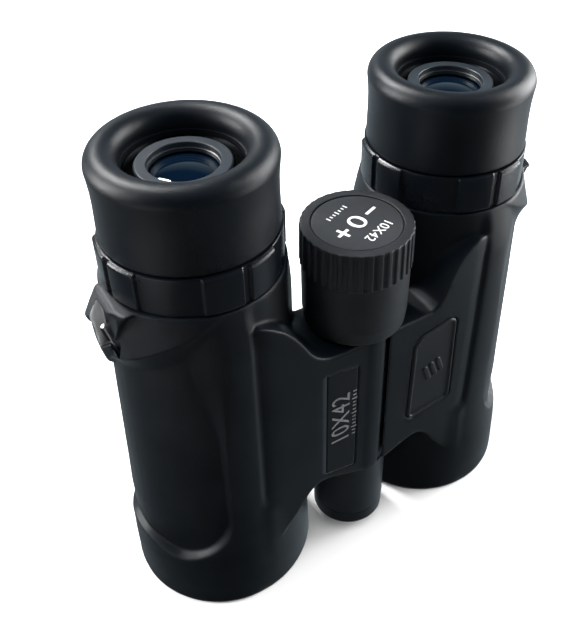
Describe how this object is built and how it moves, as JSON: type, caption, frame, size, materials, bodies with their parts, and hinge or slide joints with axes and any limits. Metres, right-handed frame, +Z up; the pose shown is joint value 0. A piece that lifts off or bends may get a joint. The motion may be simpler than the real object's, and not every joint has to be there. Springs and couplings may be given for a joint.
{
  "type": "binoculars",
  "caption": "Roof-prism binoculars with rubber armour, a folding centre hinge, focus knob, dioptre ring and twist-up eyecups.",
  "frame": {"origin": "centre of the bounding box's base, on the surface that the objective ends stand on, midway between the barrels", "axes": "+Z up along the barrels from the objectives to the eyepieces, -Y towards the bridge and focus knob, X across the two barrels"},
  "size_m": [0.1244, 0.0528, 0.134],
  "materials": {
    "armour_rubber": "matt, fine leathery grain",
    "eyecup_rubber": "satin soft rubber",
    "badge_rubber": "matt with an edge bead",
    "scale_plate": "matt with pale printed scale",
    "housing_metal": "cast light alloy, black paint",
    "ring_plastic": "satin moulded plastic",
    "knob_plastic": "finely textured moulded plastic",
    "knob_cap": "textured, pale printed marks",
    "bezel_metal": "dark anodised, turned",
    "black_plastic": "moulded",
    "black_aluminium": "black anodised",
    "steel": "machined",
    "washer_plastic": "low-friction plastic",
    "brass": "machined",
    "objective_glass": "coated optical glass",
    "lens_glass": "coated optical glass",
    "prism_glass": "polished optical glass"
  },
  "bodies": {
    "left_half": {"left_housing": "housing_metal", "left_rubber_armour": "armour_rubber", "left_objective_tube": "black_aluminium", "left_objective_bumper": "armour_rubber", "left_objective_cell": "black_aluminium", "left_objective_retaining_ring": "black_aluminium", "left_objective_doublet": "objective_glass", "left_prism_cage": "black_plastic", "left_roof_prisms": "prism_glass", "left_prism_clip": "steel", "left_prism_clip_screws": "steel", "left_eyepiece_tube": "black_aluminium", "left_eye_lens_bezel": "bezel_metal", "left_eyepiece_lenses": "lens_glass", "left_eyepiece_spacer": "black_aluminium", "scale_plate": "scale_plate", "hinge_axle": "steel", "hinge_washers": "washer_plastic", "hinge_clamp_nut": "steel", "hinge_end_cap": "black_aluminium"},
    "right_half": {"right_housing": "housing_metal", "right_rubber_armour": "armour_rubber", "right_objective_tube": "black_aluminium", "right_objective_bumper": "armour_rubber", "right_objective_cell": "black_aluminium", "right_objective_retaining_ring": "black_aluminium", "right_objective_doublet": "objective_glass", "right_prism_cage": "black_plastic", "right_roof_prisms": "prism_glass", "right_prism_clip": "steel", "right_prism_clip_screws": "steel", "right_eyepiece_tube": "black_aluminium", "right_eye_lens_bezel": "bezel_metal", "right_eyepiece_lenses": "lens_glass", "right_eyepiece_spacer": "black_aluminium", "grip_badge": "badge_rubber", "right_eyepiece_ring": "ring_plastic", "right_field_lens_cell": "black_aluminium", "right_field_lens": "lens_glass"},
    "focus_knob": {"focus_knob": "knob_plastic", "focus_knob_cap": "knob_cap", "focus_knob_screw": "steel", "focus_screw": "steel"},
    "focus_carriage": {"focus_carriage": "steel", "focus_nut": "brass"},
    "left_focus_cell": {"left_focus_cell": "black_plastic", "left_focus_lens": "lens_glass"},
    "right_focus_cell": {"right_focus_cell": "black_plastic", "right_focus_lens": "lens_glass"},
    "diopter_ring": {"diopter_ring": "ring_plastic"},
    "left_field_cell": {"left_field_lens_cell": "black_aluminium", "left_field_lens": "lens_glass"},
    "left_eyecup_guide": {"left_eyecup_detent_ring": "steel"},
    "left_eyecup": {"left_eyecup_core": "black_plastic", "left_eyecup_rubber": "eyecup_rubber"},
    "right_eyecup_guide": {"right_eyecup_detent_ring": "steel"},
    "right_eyecup": {"right_eyecup_core": "black_plastic", "right_eyecup_rubber": "eyecup_rubber"}
  },
  "joints": [
    {"name": "fold", "type": "hinge", "parent": "left_half", "child": "right_half", "pos_m": [0, -0.01256, 0], "axis": [0, 0, 1], "range_deg": [-13.8, 44.8]},
    {"name": "focus_turn", "type": "hinge", "parent": "left_half", "child": "focus_knob", "pos_m": [0, -0.01256, 0], "axis": [0, 0, 1], "range_deg": [-270, 270]},
    {"name": "carriage_slide", "type": "slide", "parent": "left_half", "child": "focus_carriage", "axis": [0, 0, 1], "range_m": [-0.0021, 0.0021]},
    {"name": "left_focus_slide", "type": "slide", "parent": "left_half", "child": "left_focus_cell", "axis": [0, 0, 1], "range_m": [-0.0021, 0.0021]},
    {"name": "right_focus_slide", "type": "slide", "parent": "right_half", "child": "right_focus_cell", "axis": [0, 0, 1], "range_m": [-0.0021, 0.0021]},
    {"name": "diopter_turn", "type": "hinge", "parent": "left_half", "child": "diopter_ring", "pos_m": [-0.03565, 0.00051, 0], "axis": [0, 0, 1], "range_deg": [-35, 35]},
    {"name": "left_field_slide", "type": "slide", "parent": "left_half", "child": "left_field_cell", "axis": [0, 0, 1], "range_m": [-0.0006, 0.0006]},
    {"name": "left_eyecup_rise", "type": "slide", "parent": "left_half", "child": "left_eyecup_guide", "axis": [0, 0, 1], "range_m": [0, 0.008]},
    {"name": "left_eyecup_twist", "type": "hinge", "parent": "left_eyecup_guide", "child": "left_eyecup", "pos_m": [-0.03565, 0.00051, 0], "axis": [0, 0, 1], "range_deg": [0, 90]},
    {"name": "right_eyecup_rise", "type": "slide", "parent": "right_half", "child": "right_eyecup_guide", "axis": [0, 0, 1], "range_m": [0, 0.008]},
    {"name": "right_eyecup_twist", "type": "hinge", "parent": "right_eyecup_guide", "child": "right_eyecup", "pos_m": [0.03565, 0.00051, 0], "axis": [0, 0, 1], "range_deg": [0, 90]}
  ],
  "couplings": [
    {"joint": "carriage_slide", "follows": "focus_turn", "m_per_rad": 0.00044},
    {"joint": "left_focus_slide", "follows": "focus_turn", "m_per_rad": 0.00044},
    {"joint": "right_focus_slide", "follows": "focus_turn", "m_per_rad": 0.00044},
    {"joint": "left_field_slide", "follows": "diopter_turn", "m_per_rad": 0.00098},
    {"joint": "left_eyecup_rise", "follows": "left_eyecup_twist", "m_per_rad": 0.00509},
    {"joint": "right_eyecup_rise", "follows": "right_eyecup_twist", "m_per_rad": 0.00509}
  ]
}
